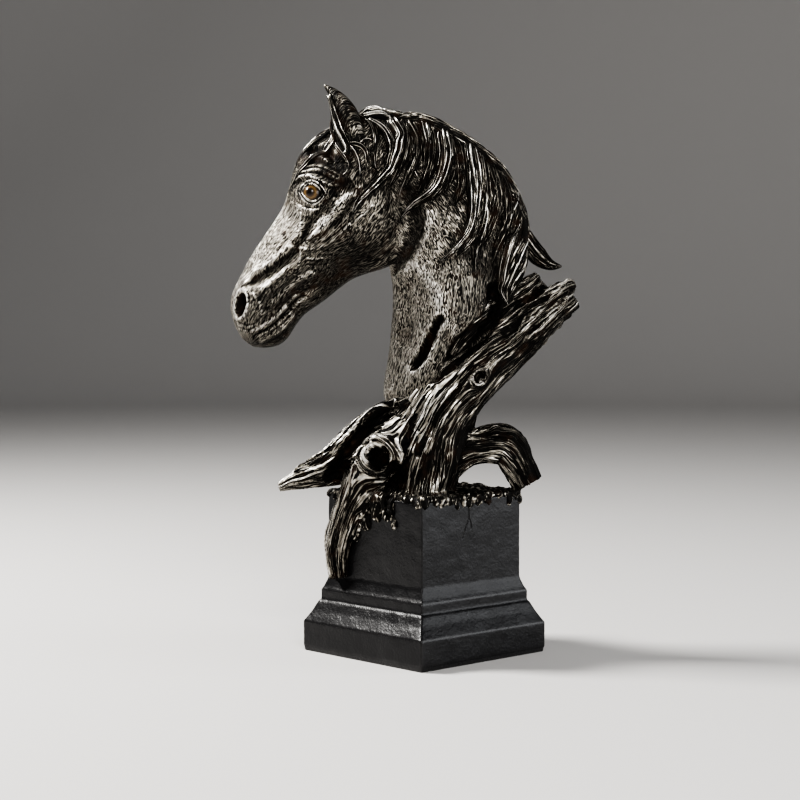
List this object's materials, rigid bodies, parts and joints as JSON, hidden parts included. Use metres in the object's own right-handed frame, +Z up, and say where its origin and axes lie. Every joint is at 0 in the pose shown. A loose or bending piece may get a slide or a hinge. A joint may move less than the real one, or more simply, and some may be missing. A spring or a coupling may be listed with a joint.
{
  "type": "horse head sculpture",
  "caption": "Horse's head and arched neck with a flowing mane, growing out of driftwood, on a square moulded plinth that it is built together with.",
  "frame": {"origin": "centre of the plinth's square underside", "axes": "+Z up; +X and +Y along the plinth's sides; the horse looks along the diagonal between -X and -Y, and the side with the fuller mane faces +X and -Y"},
  "size_m": [0.1351, 0.135, 0.2954],
  "materials": {
    "dark_bronze": "cast resin painted near-black bronze, its ridges dry-brushed with champagne silver",
    "satin_black": "cast resin in satin black, with a faint cast texture",
    "amber_eye": "eyes painted amber under clear gloss"
  },
  "bodies": {
    "root": {"horse_and_driftwood": "dark_bronze", "plinth": "satin_black"}
  },
  "joints": []
}
